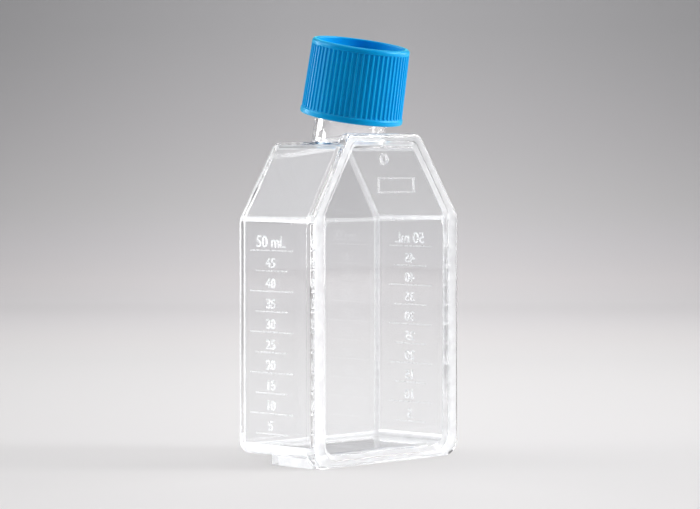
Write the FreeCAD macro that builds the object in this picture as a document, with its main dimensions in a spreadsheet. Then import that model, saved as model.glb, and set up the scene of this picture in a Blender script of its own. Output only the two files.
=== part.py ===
"""Small cell culture flask: clear tray and roof plate, canted neck, vented screw cap.

Millimetres, +Z up. The flask stands on its foot. The origin is on the table plane, in the
middle of the width (X) and of the whole depth with the cap on (Y). The culture wall faces
+Y, the roof plate faces -Y, and the neck leans towards the roof.
"""
import FreeCAD
import Part
import Sketcher

import math
import os

# ---------------------------------------------------------------------------
# Driving sizes, in millimetres and degrees
# ---------------------------------------------------------------------------
SIZES = (
    # tray
    ("tray_width", 46.0),            # across the two narrow walls
    ("body_depth", 26.0),            # roof plate's outside to culture wall's outside
    ("body_offset", 1.5),            # body's middle depth, behind the origin
    ("end_wall_height", 2.0),        # underside of the end wall above the table
    ("shoulder_height", 55.9),       # where the narrow walls start to slant
    ("tray_height", 73.5),           # outside of the top wall
    ("top_width", 23.4),             # tray's width at the top wall
    ("wall_thickness", 1.4),         # narrow walls, shoulders, end wall, top wall
    ("culture_thickness", 1.4),      # culture wall
    ("ramp_rise", 1.0),              # culture wall's extra thickness at the neck end
    ("base_corner_radius", 3.0),     # tray's two lower corners, seen from the front
    ("shoulder_radius", 3.0),        # blend between narrow wall and shoulder
    ("top_corner_radius", 2.4),      # blend between shoulder and top wall
    ("culture_edge_radius", 2.0),    # outer edge all round the culture wall
    ("cavity_corner_radius", 1.6),   # the hollow's own corners, seen from the front
    ("cavity_edge_radius", 1.0),     # inner edge all round the culture wall
    ("foot_reach", 13.0),            # foot's length from the roof plate's back
    ("foot_inset", 1.0),             # foot's setback from the narrow walls
    ("foot_thickness", 1.4),
    # graduations, moulded on both narrow walls
    ("scale_zero", 2.6),             # level of the empty flask
    ("scale_step", 9.26),            # rise for each 10 mL
    ("scale_middle", 1.4),           # lines' middle, from the body's middle depth
    ("long_line", 13.6),
    ("short_line", 10.0),
    ("line_width", 0.3),
    ("line_relief", 0.15),
    # roof plate
    ("side_overhang", 1.5),          # rim past the narrow walls and shoulders
    ("top_overhang", 2.0),           # rim past the top wall
    ("rim_thickness", 2.3),
    ("roof_drop", 0.8),              # the roof leans in by this much at its top
    ("rim_side_width", 5.0),         # rim, seen from the front
    ("rim_shoulder_width", 3.8),
    ("rim_top_width", 3.0),
    ("rim_base_width", 2.8),
    ("window_depth", 0.7),           # window's surface below the rim's
    ("rim_corner_radius", 4.0),      # rim's lower corners
    ("rim_top_radius", 2.6),
    ("window_corner_radius", 3.0),   # its two lower corners
    ("window_top_radius", 1.0),      # its two upper corners
    ("gate_drop", 5.9),              # gate mark's middle, below the rim's top
    ("gate_radius", 1.35),
    ("gate_relief", 0.35),
    ("dimple_radius", 0.75),         # in the middle of the gate mark
    ("frame_middle", 3.9),           # small raised frame's middle, across the width
    ("frame_drop", 11.9),            # its middle, below the rim's top
    ("frame_width", 12.2),
    ("frame_tall", 3.6),
    ("frame_line", 0.4),
    ("frame_relief", 0.3),
    # neck
    ("neck_tilt", 11.0),             # degrees, towards the roof side
    ("neck_radius", 8.3),
    ("neck_wall", 1.4),
    ("neck_length", 18.4),           # along its axis, from the top wall
    ("neck_gap", 0.7),               # between neck and the rim's back
    ("neck_root_radius", 0.6),
    ("rim_round", 0.4),
    # screw thread
    ("thread_lead", 4.0),
    ("thread_turns", 1.25),
    ("thread_relief", 0.9),
    ("thread_root", 1.5),            # thread's width at its root
    ("thread_crest", 0.6),
    ("thread_start", 9.5),           # neck thread's first turn, from the top wall
    ("thread_play", 0.3),            # between the flanks that carry load
    ("crest_clearance", 0.35),       # from each thread's crest to the facing wall
    # cap
    ("skirt_depth", 13.0),           # inside, from lower edge to web
    ("web_thickness", 1.2),
    ("recess_depth", 3.2),           # sunk top
    ("skirt_wall", 1.85),           # bore to the foot of the ribs, at the lower end
    ("skirt_draft", 0.37),           # the skirt is this much smaller in radius at its top
    ("rib_relief", 0.3),
    ("rib_width", 0.8),              # at its foot
    ("rib_crest", 0.24),             # width at its crest
    ("rib_count", 60),
    ("bead_relief", 0.2),            # bead past the ribs
    ("bead_height", 1.2),
    ("bead_round", 0.42),
    ("bead_slope", 0.5),             # height over which the bead runs into the skirt
    ("lip_height", 1.1),             # smooth lip above the ribs
    ("lip_thickness", 1.25),
    ("lip_round", 0.7),
    ("lip_slope", 0.3),              # height over which the skirt runs out to the lip
    ("recess_round", 0.35),
    ("lead_in", 0.35),               # chamfer at the mouth of the cap's bore
    ("vent_radius", 1.2),
    ("vent_circle", 4.4),
    ("vent_count", 6),
    ("membrane_thickness", 0.3),
    ("membrane_clearance", 0.3),     # membrane's edge to the cap's bore
)

doc = FreeCAD.newDocument("cell_culture_flask")
sheet = doc.addObject("Spreadsheet::Sheet", "sizes")
for row, (name, number) in enumerate(SIZES, start=1):
    sheet.set("A%d" % row, name)
    sheet.set("B%d" % row, str(number))
    sheet.setAlias("B%d" % row, name)
doc.recompute()


# ---------------------------------------------------------------------------
# Sizes that carry both their number and the expression that gives it
# ---------------------------------------------------------------------------
class Size:
    """A number and the expression that works it out from the sheet."""

    def __init__(self, value, text):
        self.value = float(value)
        self.text = text

    @staticmethod
    def of(item):
        if isinstance(item, Size):
            return item
        return Size(item, "(%r)" % float(item))

    def __add__(self, other):
        other = Size.of(other)
        return Size(self.value + other.value, "(%s + %s)" % (self.text, other.text))

    def __sub__(self, other):
        other = Size.of(other)
        return Size(self.value - other.value, "(%s - %s)" % (self.text, other.text))

    def __mul__(self, other):
        other = Size.of(other)
        return Size(self.value * other.value, "(%s * %s)" % (self.text, other.text))

    def __truediv__(self, other):
        other = Size.of(other)
        return Size(self.value / other.value, "(%s / %s)" % (self.text, other.text))

    def __rsub__(self, other):
        return Size.of(other) - self

    def __neg__(self):
        return Size(-self.value, "(0 - %s)" % self.text)

    __radd__ = __add__
    __rmul__ = __mul__


def cell(alias):
    """The named size in the sheet."""
    return Size(float(sheet.get(alias)), "sizes." + alias)


def sin(angle):
    return Size(math.sin(math.radians(angle.value)), "sin(%s)" % angle.text)


def cos(angle):
    return Size(math.cos(math.radians(angle.value)), "cos(%s)" % angle.text)


def tan(angle):
    return Size(math.tan(math.radians(angle.value)), "tan(%s)" % angle.text)


def atan(ratio):
    return Size(math.degrees(math.atan(ratio.value)), "atan(%s)" % ratio.text)


ZERO = Size.of(0)
PAST = Size.of(1)        # cutting forms run this far past what they cut
BURIED = Size.of(0.3)    # added forms start this far inside what they stand on
NEAR = 0.02              # two places this close together are the same one


# ---------------------------------------------------------------------------
# Small helpers for sketches and features
# ---------------------------------------------------------------------------
def new_body(name):
    return doc.addObject("PartDesign::Body", name)


def tilt(body, along):
    """Stand a body on the neck's axis, this far along it from the top wall."""
    body.Placement = FreeCAD.Placement(
        FreeCAD.Vector(0, 0, 0), FreeCAD.Rotation(FreeCAD.Vector(1, 0, 0), neck_tilt.value)
    )
    body.setExpression("Placement.Rotation.Angle", neck_tilt.text)
    body.setExpression("Placement.Base.y", (neck_middle - along * sin(neck_tilt)).text)
    body.setExpression("Placement.Base.z", (tray_height + along * cos(neck_tilt)).text)


def new_sketch(body, name, role, shift=ZERO):
    """A sketch on one of the body's own planes, moved along the plane's normal."""
    plane = [item for item in body.Origin.OriginFeatures if item.Role == role][0]
    sketch = body.newObject("Sketcher::SketchObject", name)
    sketch.AttachmentSupport = [(plane, "")]
    sketch.MapMode = "FlatFace"
    sketch.AttachmentOffset = FreeCAD.Placement(
        FreeCAD.Vector(0, 0, shift.value), FreeCAD.Rotation()
    )
    sketch.setExpression("AttachmentOffset.Base.z", shift.text)
    return sketch


def polygon(sketch, corners):
    """A closed outline with every corner tied to its sizes."""
    first = sketch.GeometryCount
    corners = [(Size.of(x), Size.of(y)) for x, y in corners]
    count = len(corners)
    points = [FreeCAD.Vector(x.value, y.value, 0) for x, y in corners]
    for i in range(count):
        sketch.addGeometry(Part.LineSegment(points[i], points[(i + 1) % count]), False)
    for i in range(count):
        following = first + (i + 1) % count
        sketch.addConstraint(Sketcher.Constraint("Coincident", first + i, 2, following, 1))
    for i, (x, y) in enumerate(corners):
        for kind, size in (("DistanceX", x), ("DistanceY", y)):
            rule = Sketcher.Constraint(kind, -1, 1, first + i, 1, size.value)
            index = sketch.addConstraint(rule)
            sketch.setExpression("Constraints[%d]" % index, size.text)


def circle(sketch, radius, x=ZERO, y=ZERO):
    """A circle with its centre and radius tied to their sizes."""
    centre = FreeCAD.Vector(x.value, y.value, 0)
    index = sketch.addGeometry(
        Part.Circle(centre, FreeCAD.Vector(0, 0, 1), radius.value), False
    )
    rule = sketch.addConstraint(Sketcher.Constraint("Radius", index, radius.value))
    sketch.setExpression("Constraints[%d]" % rule, radius.text)
    for kind, size in (("DistanceX", x), ("DistanceY", y)):
        rule = sketch.addConstraint(Sketcher.Constraint(kind, -1, 1, index, 3, size.value))
        sketch.setExpression("Constraints[%d]" % rule, size.text)


def extrude(body, kind, name, sketch, length, back=False, both=False):
    """A Pad or a Pocket of a given length."""
    feature = body.newObject("PartDesign::" + kind, name)
    feature.Profile = sketch
    feature.Length = length.value
    feature.setExpression("Length", length.text)
    feature.Reversed = back
    if both:
        feature.SideType = "Symmetric"
    body.Tip = feature
    return feature


def round_edges(body, name, radius, wanted):
    """Fillet the edges of the body's last feature that the test picks out."""
    doc.recompute()
    base = body.Tip
    edges = ["Edge%d" % i for i, e in enumerate(base.Shape.Edges, start=1) if wanted(e)]
    feature = body.newObject("PartDesign::Fillet", name)
    feature.Base = (base, edges)
    feature.Radius = radius.value
    feature.setExpression("Radius", radius.text)
    body.Tip = feature
    return feature


def runs_along(edge, axis):
    """True for a straight edge that runs along the axis."""
    if edge.Curve.TypeId != "Part::GeomLine":
        return False
    start, end = edge.Vertexes[0].Point, edge.Vertexes[-1].Point
    return abs((end - start).normalize().dot(axis)) > 0.9999


def at(place, size):
    """True where a coordinate is the same as a size."""
    return abs(place - size.value) < NEAR


def corner(edge, level, side=None):
    """True for an edge that runs through from front to back at this level, and at this side."""
    middle = edge.CenterOfMass
    level_fits = runs_along(edge, Y_AXIS) and at(middle.z, level)
    return level_fits and (side is None or at(abs(middle.x), side))


def outlines(edge, depth):
    """True for an edge of the front outline that lies at this depth."""
    return at(edge.CenterOfMass.y, depth) and edge.BoundBox.YLength < NEAR


def circle_at(edge, level, radius):
    """True for a full circle about the Z axis at this level and radius."""
    if edge.Curve.TypeId != "Part::GeomCircle":
        return False
    return at(edge.Curve.Center.z, level) and at(edge.Curve.Radius, radius)


Y_AXIS = FreeCAD.Vector(0, 1, 0)

# ---------------------------------------------------------------------------
# Sizes worked out from the driving ones
# ---------------------------------------------------------------------------
tray_side = cell("tray_width") / 2
tray_base = cell("end_wall_height")
shoulder = cell("shoulder_height")
tray_height = cell("tray_height")
top_side = cell("top_width") / 2
wall = cell("wall_thickness")
body_middle = cell("body_offset")
roof_face = body_middle - cell("body_depth") / 2
culture_face = body_middle + cell("body_depth") / 2
slant = atan((tray_side - top_side) / (tray_height - shoulder))

# rim's outline: the tray's, moved out by the overhangs
side_out = cell("side_overhang")
top_out = cell("top_overhang")
rim_side = tray_side + side_out
rim_shoulder = shoulder + side_out * tan(slant / 2)
rim_height = tray_height + top_out
rim_top_side = top_side + side_out / cos(slant) - top_out * tan(slant)

# the roof leans in above the shoulder
lean = cell("roof_drop") / (rim_height - rim_shoulder)
seam = roof_face + cell("rim_thickness")

# neck axis: as close behind the rim as its gap lets it stand
neck_tilt = cell("neck_tilt")
neck_radius = cell("neck_radius")
rim_back = seam + cell("roof_drop")
neck_middle = (
    rim_back + cell("neck_gap") + neck_radius / cos(neck_tilt) + top_out * tan(neck_tilt)
)
neck_length = cell("neck_length")

# cap
cap_bore = neck_radius + cell("thread_relief") + cell("crest_clearance")
skirt_depth = cell("skirt_depth")
cap_lift = neck_length + cell("membrane_thickness") - skirt_depth
cap_height = skirt_depth + cell("web_thickness") + cell("recess_depth")


def front_outline(side, base, bend, top, narrow):
    """The flask's six-cornered front outline: across X, up Z."""
    return ((-side, base), (side, base), (side, bend), (narrow, top), (-narrow, top), (-side, bend))


# ---------------------------------------------------------------------------
# Tray: outer block
# ---------------------------------------------------------------------------
block = new_body("tray_block")
sketch = new_sketch(block, "tray_outline", "XZ_Plane", -culture_face)
polygon(sketch, front_outline(tray_side, tray_base, shoulder, tray_height, top_side))
extrude(block, "Pad", "tray_pad", sketch, culture_face - seam)

# front corners of the block, seen from the front: lower, shoulder and top pairs
round_edges(
    block, "base_corners", cell("base_corner_radius"), lambda e: corner(e, tray_base)
)
round_edges(
    block, "shoulder_corners", cell("shoulder_radius"), lambda e: corner(e, shoulder, tray_side)
)
round_edges(
    block, "top_corners", cell("top_corner_radius"), lambda e: corner(e, tray_height)
)
round_edges(
    block, "culture_edge", cell("culture_edge_radius"), lambda e: outlines(e, culture_face)
)

# the seam leans in with the roof above the shoulder
above = rim_height - rim_shoulder + PAST
sketch = new_sketch(block, "seam_profile", "YZ_Plane")
polygon(sketch, (
    (seam, rim_shoulder),
    (seam + lean * above, rim_shoulder + above),
    (seam - PAST, rim_shoulder + above),
    (seam - PAST, rim_shoulder),
))
extrude(block, "Pocket", "seam_lean", sketch, cell("tray_width") + PAST * 2, both=True)

# foot: a low wall on three sides, level with the rim's lower edge
foot_side = tray_side - cell("foot_inset")
foot_back = seam + cell("foot_reach")
foot_wall = cell("foot_thickness")
sketch = new_sketch(block, "foot_outline", "XY_Plane")
polygon(sketch, (
    (-foot_side, seam),
    (-foot_side, foot_back),
    (foot_side, foot_back),
    (foot_side, seam),
    (foot_side - foot_wall, seam),
    (foot_side - foot_wall, foot_back - foot_wall),
    (foot_wall - foot_side, foot_back - foot_wall),
    (foot_wall - foot_side, seam),
))
extrude(block, "Pad", "foot", sketch, tray_base + wall / 2)

# graduation lines: bars right through the block, standing proud of both narrow walls
line_reach = cell("tray_width") + cell("line_relief") * 2
scale_step = cell("scale_step")
for name, length, level in (
    ("long_lines", cell("long_line"), cell("scale_zero") + scale_step),
    ("short_lines", cell("short_line"), cell("scale_zero") + scale_step * 0.5),
):
    mid = body_middle + cell("scale_middle")
    half = cell("line_width") / 2
    sketch = new_sketch(block, name + "_sketch", "YZ_Plane")
    polygon(sketch, (
        (mid - length / 2, level - half),
        (mid + length / 2, level - half),
        (mid + length / 2, level + half),
        (mid - length / 2, level + half),
    ))
    first_line = extrude(block, "Pad", name, sketch, line_reach, both=True)
    pattern = block.newObject("PartDesign::LinearPattern", name + "_pattern")
    pattern.Originals = [first_line]
    pattern.Direction = (sketch, ["V_Axis"])
    pattern.Occurrences = 5
    pattern.Length = (scale_step * 4).value
    pattern.setExpression("Length", (scale_step * 4).text)
    block.Tip = pattern

# ---------------------------------------------------------------------------
# Tray: neck with its thread
# ---------------------------------------------------------------------------
neck = new_body("neck_form")
tilt(neck, ZERO)
neck_foot = neck_radius * tan(neck_tilt) + wall    # its form runs down through the top wall
sketch = new_sketch(neck, "neck_circle", "XY_Plane", -neck_foot)
circle(sketch, neck_radius)
extrude(neck, "Pad", "neck_pad", sketch, neck_length + neck_foot)
round_edges(
    neck, "neck_rim", cell("rim_round"),
    lambda e: circle_at(e, neck_length, neck_radius),
)

root = cell("thread_root") / 2
crest = cell("thread_crest") / 2
thread_in = neck_radius - BURIED
thread_out = neck_radius + cell("thread_relief")
start = cell("thread_start")
sketch = new_sketch(neck, "neck_thread_profile", "XZ_Plane")
polygon(sketch, (
    (thread_in, start - root),
    (neck_radius, start - root),
    (thread_out, start - crest),
    (thread_out, start + crest),
    (neck_radius, start + root),
    (thread_in, start + root),
))
helix = neck.newObject("PartDesign::AdditiveHelix", "neck_thread")
helix.Profile = sketch
helix.ReferenceAxis = (sketch, ["V_Axis"])
helix.Mode = "pitch-turns-angle"
helix.setExpression("Pitch", cell("thread_lead").text)
helix.setExpression("Turns", cell("thread_turns").text)
neck.Tip = helix

# ---------------------------------------------------------------------------
# Tray: hollow, neck bore, and the finished moulding
# ---------------------------------------------------------------------------
cavity_top = tray_height - wall
cavity_narrow = top_side - wall / cos(slant) + wall * tan(slant)
cavity_bend = shoulder - wall * tan(slant / 2)
cavity_base = tray_base + wall
cavity_back = culture_face - cell("culture_thickness")
cavity = new_body("cavity_form")
sketch = new_sketch(cavity, "cavity_outline", "XZ_Plane", -cavity_back)
polygon(
    sketch,
    front_outline(tray_side - wall, cavity_base, cavity_bend, cavity_top, cavity_narrow),
)
extrude(cavity, "Pad", "cavity_pad", sketch, cavity_back - seam + PAST)
for name, level in (
    ("cavity_base_corners", cavity_base),
    ("cavity_top_corners", cavity_top),
    ("cavity_shoulder_corners", cavity_bend),
):
    round_edges(
        cavity, name, cell("cavity_corner_radius"), lambda e, level=level: corner(e, level)
    )
round_edges(
    cavity, "cavity_edge", cell("cavity_edge_radius"), lambda e: outlines(e, cavity_back)
)

# ramp on the culture wall, rising from the shoulder to the neck
sketch = new_sketch(cavity, "ramp_profile", "YZ_Plane")
polygon(sketch, (
    (cavity_back, cavity_bend),
    (cavity_back + PAST, cavity_bend),
    (cavity_back + PAST, cavity_top + PAST),
    (cavity_back - cell("ramp_rise"), cavity_top + PAST),
))
extrude(cavity, "Pocket", "ramp", sketch, cell("tray_width"), both=True)

bore = new_body("bore_form")
tilt(bore, ZERO)
bore_radius = neck_radius - cell("neck_wall")
bore_foot = neck_foot + PAST
mouth = cell("rim_round")
sketch = new_sketch(bore, "bore_profile", "XZ_Plane")
polygon(sketch, (
    (0, -bore_foot),
    (bore_radius, -bore_foot),
    (bore_radius, neck_length - mouth),
    (bore_radius + mouth, neck_length),
    (bore_radius + mouth, neck_length + PAST),
    (0, neck_length + PAST),
))
turned = bore.newObject("PartDesign::Revolution", "bore_turned")
turned.Profile = sketch
turned.ReferenceAxis = (sketch, ["V_Axis"])
turned.Angle = 360
bore.Tip = turned
doc.recompute()

outside = doc.addObject("Part::Fuse", "tray_outside")
outside.Base = block
outside.Tool = neck
doc.recompute()


def is_neck_root(edge):
    """The oval where the neck's wall meets the top wall's outside."""
    box = edge.BoundBox
    flat = box.ZLength < NEAR and at(box.ZMax, tray_height)
    return flat and edge.Closed and at(box.XLength, neck_radius * 2)


root_edges = [i for i, e in enumerate(outside.Shape.Edges, start=1) if is_neck_root(e)]
root_radius = cell("neck_root_radius").value
rooted = doc.addObject("Part::Fillet", "tray_rooted")
rooted.Base = outside
rooted.Edges = [(i, root_radius, root_radius) for i in root_edges]

hollow = doc.addObject("Part::Fuse", "tray_hollow")
hollow.Base = cavity
hollow.Tool = bore
flask_tray = doc.addObject("Part::Cut", "flask_tray")
flask_tray.Base = rooted
flask_tray.Tool = hollow
doc.recompute()

# ---------------------------------------------------------------------------
# Roof plate
# ---------------------------------------------------------------------------
plate = new_body("plate_form")
thick = cell("rim_thickness")
drop = cell("roof_drop")
sketch = new_sketch(plate, "plate_profile", "YZ_Plane")
polygon(sketch, (
    (roof_face, 0),
    (seam, 0),
    (seam, rim_shoulder),
    (seam + drop, rim_height),
    (roof_face + drop, rim_height),
    (roof_face, rim_shoulder),
))
extrude(plate, "Pad", "plate_pad", sketch, rim_side * 2, both=True)


def trim(body, name, side, base, bend, top, narrow):
    """Cut a body down to the front outline."""
    outer = new_sketch(body, name + "_sketch", "XZ_Plane", -culture_face)
    far = rim_side + PAST
    high = rim_height + PAST
    polygon(outer, ((-far, -PAST), (far, -PAST), (far, high), (-far, high)))
    polygon(outer, front_outline(side, base, bend, top, narrow))
    extrude(body, "Pocket", name, outer, cell("body_depth") + PAST * 2, back=True)


trim(plate, "plate_trim", rim_side, ZERO, rim_shoulder, rim_height, rim_top_side)
round_edges(
    plate, "plate_base_corners", cell("rim_corner_radius"), lambda e: corner(e, ZERO)
)
round_edges(
    plate, "plate_shoulder_corners", cell("shoulder_radius"),
    lambda e: corner(e, rim_shoulder, rim_side),
)
round_edges(
    plate, "plate_top_corners", cell("rim_top_radius"), lambda e: corner(e, rim_height)
)

# window: a shallow sunk field that follows the plate's bend
window = new_body("window_form")
sunk = roof_face + cell("window_depth")
sketch = new_sketch(window, "window_profile", "YZ_Plane")
polygon(sketch, (
    (roof_face - PAST, 0),
    (sunk, 0),
    (sunk, rim_shoulder),
    (sunk + drop, rim_height),
    (roof_face - PAST, rim_height),
))
extrude(window, "Pad", "window_pad", sketch, rim_side * 2, both=True)
window_side = rim_side - cell("rim_side_width")
window_top = rim_height - cell("rim_top_width")
slant_reach = rim_side + rim_shoulder * tan(slant) - cell("rim_shoulder_width") / cos(slant)
window_bend = (slant_reach - window_side) / tan(slant)
window_narrow = slant_reach - window_top * tan(slant)
trim(
    window, "window_trim",
    window_side, cell("rim_base_width"), window_bend, window_top, window_narrow,
)
round_edges(
    window, "window_base_corners", cell("window_corner_radius"),
    lambda e: corner(e, cell("rim_base_width")),
)
round_edges(
    window, "window_top_corners", cell("window_top_radius"), lambda e: corner(e, window_top)
)
doc.recompute()

framed = doc.addObject("Part::Cut", "plate_framed")
framed.Base = plate
framed.Tool = window

# gate mark and raised frame, moulded on the window
marks = new_body("marks_form")


def roof_level(height, relief):
    """Depth of the window's surface at a height, plus a relief outwards."""
    return sunk + lean * (height - rim_shoulder) - relief


gate_height = rim_height - cell("gate_drop")
inside_plate = seam - (thick - cell("window_depth")) / 2
sketch = new_sketch(marks, "gate_circle", "XZ_Plane", -inside_plate)
circle(sketch, cell("gate_radius"), ZERO, gate_height)
gate_face = roof_level(gate_height, cell("gate_relief"))
extrude(marks, "Pad", "gate_mark", sketch, inside_plate - gate_face)
sketch = new_sketch(marks, "gate_dimple", "XZ_Plane", -gate_face)
circle(sketch, cell("dimple_radius"), ZERO, gate_height)
extrude(marks, "Pocket", "gate_hollow", sketch, cell("gate_relief"))

frame_height = rim_height - cell("frame_drop")
frame_mid = cell("frame_middle")
frame_half = cell("frame_width") / 2
frame_up = cell("frame_tall") / 2
frame_line = cell("frame_line")
sketch = new_sketch(marks, "frame_outline", "XZ_Plane", -inside_plate)
for out in (ZERO, frame_line):
    polygon(sketch, (
        (frame_mid - frame_half + out, frame_height - frame_up + out),
        (frame_mid + frame_half - out, frame_height - frame_up + out),
        (frame_mid + frame_half - out, frame_height + frame_up - out),
        (frame_mid - frame_half + out, frame_height + frame_up - out),
    ))
frame_face = roof_level(frame_height, cell("frame_relief"))
extrude(marks, "Pad", "raised_frame", sketch, inside_plate - frame_face)
doc.recompute()

roof_plate = doc.addObject("Part::Fuse", "roof_plate")
roof_plate.Base = framed
roof_plate.Tool = marks
doc.recompute()

# ---------------------------------------------------------------------------
# Cap shell
# ---------------------------------------------------------------------------
cap = new_body("cap_shell")
tilt(cap, cap_lift)
rib_foot = cap_bore + cell("skirt_wall")
draft = cell("skirt_draft")
rib_top = cap_height - cell("lip_height")
foot_top = rib_foot - draft
lip_radius = foot_top + cell("rib_relief")
recess_radius = lip_radius - cell("lip_thickness")
bead_radius = rib_foot + cell("rib_relief") + cell("bead_relief")
bead_top = cell("bead_height")
lead_in = cell("lead_in")
web_top = skirt_depth + cell("web_thickness")
sketch = new_sketch(cap, "cap_profile", "XZ_Plane")
polygon(sketch, (
    (cap_bore + lead_in, 0),
    (bead_radius, 0),
    (bead_radius, bead_top),
    (rib_foot, bead_top + cell("bead_slope")),
    (foot_top, rib_top - cell("lip_slope")),
    (lip_radius, rib_top),
    (lip_radius, cap_height),
    (recess_radius, cap_height),
    (recess_radius, web_top),
    (0, web_top),
    (0, skirt_depth),
    (cap_bore, skirt_depth),
    (cap_bore, lead_in),
))
turned = cap.newObject("PartDesign::Revolution", "cap_turned")
turned.Profile = sketch
turned.ReferenceAxis = (sketch, ["V_Axis"])
turned.Angle = 360
cap.Tip = turned
round_edges(
    cap, "lip_outer_round", cell("lip_round"),
    lambda e: circle_at(e, cap_height, lip_radius),
)
round_edges(
    cap, "lip_inner_round", cell("recess_round"),
    lambda e: circle_at(e, cap_height, recess_radius) or circle_at(e, web_top, recess_radius),
)
round_edges(
    cap, "bead_round", cell("bead_round"),
    lambda e: circle_at(e, ZERO, bead_radius) or circle_at(e, bead_top, bead_radius),
)

# vent holes through the web
vent_cut = cell("web_thickness") + PAST * 2
sketch = new_sketch(cap, "vent_circles", "XY_Plane", web_top + PAST)
circle(sketch, cell("vent_radius"))
extrude(cap, "Pocket", "vent_middle", sketch, vent_cut)
sketch = new_sketch(cap, "vent_outer_circle", "XY_Plane", web_top + PAST)
circle(sketch, cell("vent_radius"), cell("vent_circle"), ZERO)
vent = extrude(cap, "Pocket", "vent_outer", sketch, vent_cut)
pattern = cap.newObject("PartDesign::PolarPattern", "vent_pattern")
pattern.Originals = [vent]
pattern.Axis = (sketch, ["N_Axis"])
pattern.Angle = 360
pattern.setExpression("Occurrences", cell("vent_count").text)
cap.Tip = pattern

# thread inside the skirt, just under the neck's, on the same screw
thread_gap = (cell("thread_root") + cell("thread_crest")) / 2 + cell("thread_play")
cap_start = start - thread_gap - cap_lift
cap_thread_out = cap_bore + BURIED
cap_thread_in = neck_radius + cell("crest_clearance")
sketch = new_sketch(cap, "cap_thread_profile", "XZ_Plane")
polygon(sketch, (
    (cap_thread_out, cap_start - root),
    (cap_thread_out, cap_start + root),
    (cap_bore, cap_start + root),
    (cap_thread_in, cap_start + crest),
    (cap_thread_in, cap_start - crest),
    (cap_bore, cap_start - root),
))
helix = cap.newObject("PartDesign::AdditiveHelix", "cap_thread")
helix.Profile = sketch
helix.ReferenceAxis = (sketch, ["V_Axis"])
helix.Mode = "pitch-turns-angle"
helix.setExpression("Pitch", cell("thread_lead").text)
helix.setExpression("Turns", cell("thread_turns").text)
cap.Tip = helix

# grip ribs, following the skirt's draft
lower = bead_top + cell("bead_slope") / 2
upper = rib_top - cell("lip_slope") / 2
rise = (upper - lower) / (rib_top - lower)
half_rib = cell("rib_width") / 2
half_crest = cell("rib_crest") / 2
ends = []
for name, level, foot in (
    ("rib_low", lower, rib_foot),
    ("rib_high", upper, rib_foot - draft * rise),
):
    sketch = new_sketch(cap, name, "XY_Plane", level)
    polygon(sketch, (
        (foot - BURIED, -half_rib),
        (foot, -half_rib),
        (foot + cell("rib_relief"), -half_crest),
        (foot + cell("rib_relief"), half_crest),
        (foot, half_rib),
        (foot - BURIED, half_rib),
    ))
    ends.append(sketch)
rib = cap.newObject("PartDesign::AdditiveLoft", "grip_rib")
rib.Profile = ends[0]
rib.Sections = [ends[1]]
rib.Ruled = True
cap.Tip = rib
pattern = cap.newObject("PartDesign::PolarPattern", "grip_ribs")
pattern.Originals = [rib]
pattern.Axis = (ends[0], ["N_Axis"])
pattern.Angle = 360
pattern.setExpression("Occurrences", cell("rib_count").text)
cap.Tip = pattern
doc.recompute()

# ---------------------------------------------------------------------------
# Vent membrane, between the neck's rim and the cap's web
# ---------------------------------------------------------------------------
membrane = new_body("vent_membrane")
tilt(membrane, neck_length)
sketch = new_sketch(membrane, "membrane_circle", "XY_Plane")
circle(sketch, cap_bore - cell("membrane_clearance"))
extrude(membrane, "Pad", "membrane_pad", sketch, cell("membrane_thickness"))
doc.recompute()

# ---------------------------------------------------------------------------
# Checks, then one STEP file for each piece
# ---------------------------------------------------------------------------
for item in doc.Objects:
    if "Invalid" in item.State or "Error" in item.State:
        raise RuntimeError("feature failed: " + item.Name)

PIECES = (
    ("flask_tray", flask_tray),
    ("roof_plate", roof_plate),
    ("cap_shell", cap),
    ("vent_membrane", membrane),
)
for name, item in PIECES:
    item.Label = name
    if item.Shape.isNull() or not item.Shape.isValid() or len(item.Shape.Solids) != 1:
        raise RuntimeError("bad solid: " + name)

os.makedirs("parts", exist_ok=True)
for name, item in PIECES:
    item.Shape.exportStep("parts/%s.step" % name)
    box = item.Shape.BoundBox
    print("%-14s volume %9.2f  x %.2f..%.2f  y %.2f..%.2f  z %.2f..%.2f" % (
        name, item.Shape.Volume, box.XMin, box.XMax, box.YMin, box.YMax, box.ZMin, box.ZMax,
    ))
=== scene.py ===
"""Looks of the cell culture flask: clear polystyrene, a blue vented cap, raised numerals."""
import math

import bmesh
import bpy
from mathutils import Matrix, Vector


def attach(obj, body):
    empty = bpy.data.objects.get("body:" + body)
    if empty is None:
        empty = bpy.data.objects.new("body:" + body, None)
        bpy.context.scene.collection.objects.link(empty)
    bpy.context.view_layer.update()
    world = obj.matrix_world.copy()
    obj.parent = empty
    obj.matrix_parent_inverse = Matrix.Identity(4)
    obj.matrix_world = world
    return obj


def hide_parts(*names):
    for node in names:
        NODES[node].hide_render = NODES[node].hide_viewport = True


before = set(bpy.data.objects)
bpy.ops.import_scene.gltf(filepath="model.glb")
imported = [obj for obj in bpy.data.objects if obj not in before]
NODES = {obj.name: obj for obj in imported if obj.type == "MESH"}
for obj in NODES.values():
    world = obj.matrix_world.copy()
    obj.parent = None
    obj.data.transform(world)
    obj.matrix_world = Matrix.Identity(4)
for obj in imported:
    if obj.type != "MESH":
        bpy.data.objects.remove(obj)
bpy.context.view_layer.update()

MM = 0.001
SCENE = bpy.context.scene

# the camera looks along SIGHT; ACROSS points to its right
CAMERA_TURN = math.radians(46)
SIGHT = Vector((math.sin(CAMERA_TURN), math.cos(CAMERA_TURN), 0))
ACROSS = Vector((math.cos(CAMERA_TURN), -math.sin(CAMERA_TURN), 0))
UP = Vector((0, 0, 1))


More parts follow.
